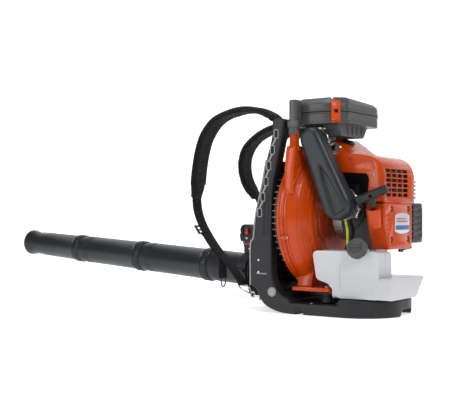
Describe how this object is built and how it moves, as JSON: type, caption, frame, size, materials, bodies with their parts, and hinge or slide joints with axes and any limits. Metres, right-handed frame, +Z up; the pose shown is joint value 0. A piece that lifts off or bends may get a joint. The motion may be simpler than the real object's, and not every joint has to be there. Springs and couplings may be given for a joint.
{
  "type": "backpack leaf blower",
  "caption": "Backpack leaf blower: padded harness frame, round fan housing with small engine, fuel tank, air filter and a long jointed blow tube with throttle grip.",
  "frame": {"origin": "on the floor under the base, straight below the crankshaft", "axes": "+X the wearer's right, +Y the way the wearer faces and the blow tube points, +Z up"},
  "size_m": [0.4305, 1.5725, 0.532],
  "materials": {
    "orange_shell": "glossy moulded polymer, deep orange",
    "frame_plastic": "fine-grained moulded nylon, dark grey",
    "filter_plastic": "satin moulded polymer, mid grey",
    "black_plastic": "satin black moulding",
    "tube_plastic": "blue-grey blow tube plastic, fine flow marks",
    "hose_rubber": "matt blue-grey moulded rubber",
    "pad_fabric": "black woven cover over foam",
    "webbing_fabric": "flat black woven webbing",
    "tank_plastic": "translucent white blow-moulded polymer",
    "bright_steel": "bright plated steel",
    "dull_steel": "plain machined steel",
    "cast_alloy": "die-cast, as cast",
    "fuel_line": "clear yellow-green fuel hose",
    "filter_foam": "pleated filter paper and foam",
    "plug_ceramic": "glazed white insulator",
    "primer_rubber": "clear smoked rubber bulb",
    "clip_orange": "satin orange moulding"
  },
  "bodies": {
    "machine": {"back_frame": "frame_plastic", "back_pad": "pad_fabric", "bellows_rear": "hose_rubber", "carburetor": "cast_alloy", "crankcase": "cast_alloy", "cylinder": "cast_alloy", "d_ring_left": "bright_steel", "d_ring_right": "bright_steel", "damper_left": "black_plastic", "damper_right": "black_plastic", "engine_cover": "orange_shell", "fan_housing_front": "orange_shell", "fan_housing_rear": "orange_shell", "filter_base": "filter_plastic", "filter_element": "filter_foam", "fuel_hose": "fuel_line", "fuel_tank": "tank_plastic", "hip_pad": "pad_fabric", "hose_clamp_lower": "bright_steel", "hose_clamp_upper": "bright_steel", "inlet_grille": "black_plastic", "intake_hose": "hose_rubber", "muffler": "dull_steel", "muffler_guard": "black_plastic", "outlet_elbow": "tube_plastic", "shoulder_pad_left": "pad_fabric", "shoulder_pad_right": "pad_fabric", "side_louvre": "filter_plastic", "spark_plug": "plug_ceramic", "starter_cover": "orange_shell", "starter_rope": "webbing_fabric", "strap_adjuster_left": "black_plastic", "strap_adjuster_right": "black_plastic", "strap_hook_left": "bright_steel", "strap_hook_right": "bright_steel", "throttle_cable": "black_plastic", "webbing_left": "webbing_fabric", "webbing_right": "webbing_fabric"},
    "crank_train": {"crankshaft": "dull_steel", "flywheel": "cast_alloy", "fan_wheel": "black_plastic"},
    "piston": {"piston": "cast_alloy"},
    "starter_pulley": {"starter_pulley": "black_plastic"},
    "starter_grip": {"starter_grip": "frame_plastic"},
    "choke_lever": {"choke_lever": "black_plastic"},
    "primer_bulb": {"primer_bulb": "primer_rubber"},
    "fuel_cap": {"fuel_cap": "frame_plastic"},
    "filter_cover": {"filter_cover": "filter_plastic"},
    "clip_left": {"filter_clip_left": "clip_orange"},
    "clip_right": {"filter_clip_right": "clip_orange"},
    "bellows_ring": {"bellows_ring": "tube_plastic", "bellows_front": "hose_rubber"},
    "blow_tube": {"swivel_tube": "tube_plastic", "tube_middle": "tube_plastic", "tube_front": "tube_plastic", "nozzle": "tube_plastic"},
    "throttle_handle": {"throttle_handle": "frame_plastic"},
    "throttle_trigger": {"throttle_trigger": "black_plastic"},
    "cruise_lever": {"cruise_lever": "clip_orange"},
    "stop_switch": {"stop_switch": "clip_orange"}
  },
  "joints": [
    {"name": "crank_spin", "type": "hinge", "parent": "machine", "child": "crank_train", "pos_m": [0, 0, 0.238], "axis": [0, 1, 0], "continuous": true},
    {"name": "piston_travel", "type": "slide", "parent": "machine", "child": "piston", "axis": [0, 0, 1], "range_m": [-0.0345, 0]},
    {"name": "starter_pull", "type": "slide", "parent": "machine", "child": "starter_grip", "axis": [-0.3009, -0.0401, 0.9528], "range_m": [0, 0.7], "stiffness_N_per_m": 15, "springref_m": -0.6, "deforming": ["starter_rope"]},
    {"name": "starter_pulley_turn", "type": "hinge", "parent": "machine", "child": "starter_pulley", "pos_m": [0, -0.118, 0.224], "axis": [0, 1, 0], "range_deg": [0, 1340]},
    {"name": "choke_turn", "type": "hinge", "parent": "machine", "child": "choke_lever", "pos_m": [-0.08, -0.05, 0.291], "axis": [-1, 0, 0], "range_deg": [0, 60]},
    {"name": "primer_press", "type": "slide", "parent": "machine", "child": "primer_bulb", "axis": [0, 0, 1], "range_m": [0, 0.005], "stiffness_N_per_m": 800},
    {"name": "fuel_cap_turn", "type": "hinge", "parent": "machine", "child": "fuel_cap", "pos_m": [-0.12295, -0.082, 0.1616], "axis": [-0.8904, 0, 0.4552], "range_deg": [0, 360]},
    {"name": "filter_cover_lift", "type": "slide", "parent": "machine", "child": "filter_cover", "axis": [0, 0, 1], "range_m": [0, 0.12]},
    {"name": "clip_left_open", "type": "hinge", "parent": "filter_cover", "child": "clip_left", "pos_m": [-0.112, -0.008, 0.518], "axis": [-0.7071, 0.7071, 0], "range_deg": [0, 100]},
    {"name": "clip_right_open", "type": "hinge", "parent": "filter_cover", "child": "clip_right", "pos_m": [0.098, 0.022, 0.518], "axis": [0, -1, 0], "range_deg": [0, 100]},
    {"name": "tube_yaw", "type": "hinge", "parent": "machine", "child": "bellows_ring", "pos_m": [0.2, 0.2, 0.06123], "axis": [0, 0, 1], "range_deg": [-20, 8], "deforming": ["bellows_rear", "throttle_cable"]},
    {"name": "tube_pitch", "type": "hinge", "parent": "bellows_ring", "child": "blow_tube", "pos_m": [0.2, 0.31, 0.06853], "axis": [1, 0, 0], "range_deg": [-5, 35], "deforming": ["bellows_front"]},
    {"name": "handle_slide", "type": "slide", "parent": "blow_tube", "child": "throttle_handle", "axis": [0, 0.9978, 0.0663], "range_m": [-0.045, 0.06]},
    {"name": "trigger_pull", "type": "hinge", "parent": "throttle_handle", "child": "throttle_trigger", "pos_m": [0.2, 0.469, 0.19017], "axis": [-1, 0, 0], "range_deg": [0, 14], "stiffness_Nm_per_rad": 0.15, "springref_deg": -14.32},
    {"name": "cruise_set", "type": "hinge", "parent": "throttle_handle", "child": "cruise_lever", "pos_m": [0.183, 0.455, 0.18817], "axis": [-1, 0, 0], "range_deg": [0, 40]},
    {"name": "stop_slide", "type": "slide", "parent": "throttle_handle", "child": "stop_switch", "axis": [0, 0, 1], "range_m": [0, 0.007]}
  ],
  "couplings": [
    {"joint": "starter_pulley_turn", "follows": "starter_pull", "rad_per_m": 33.333}
  ]
}
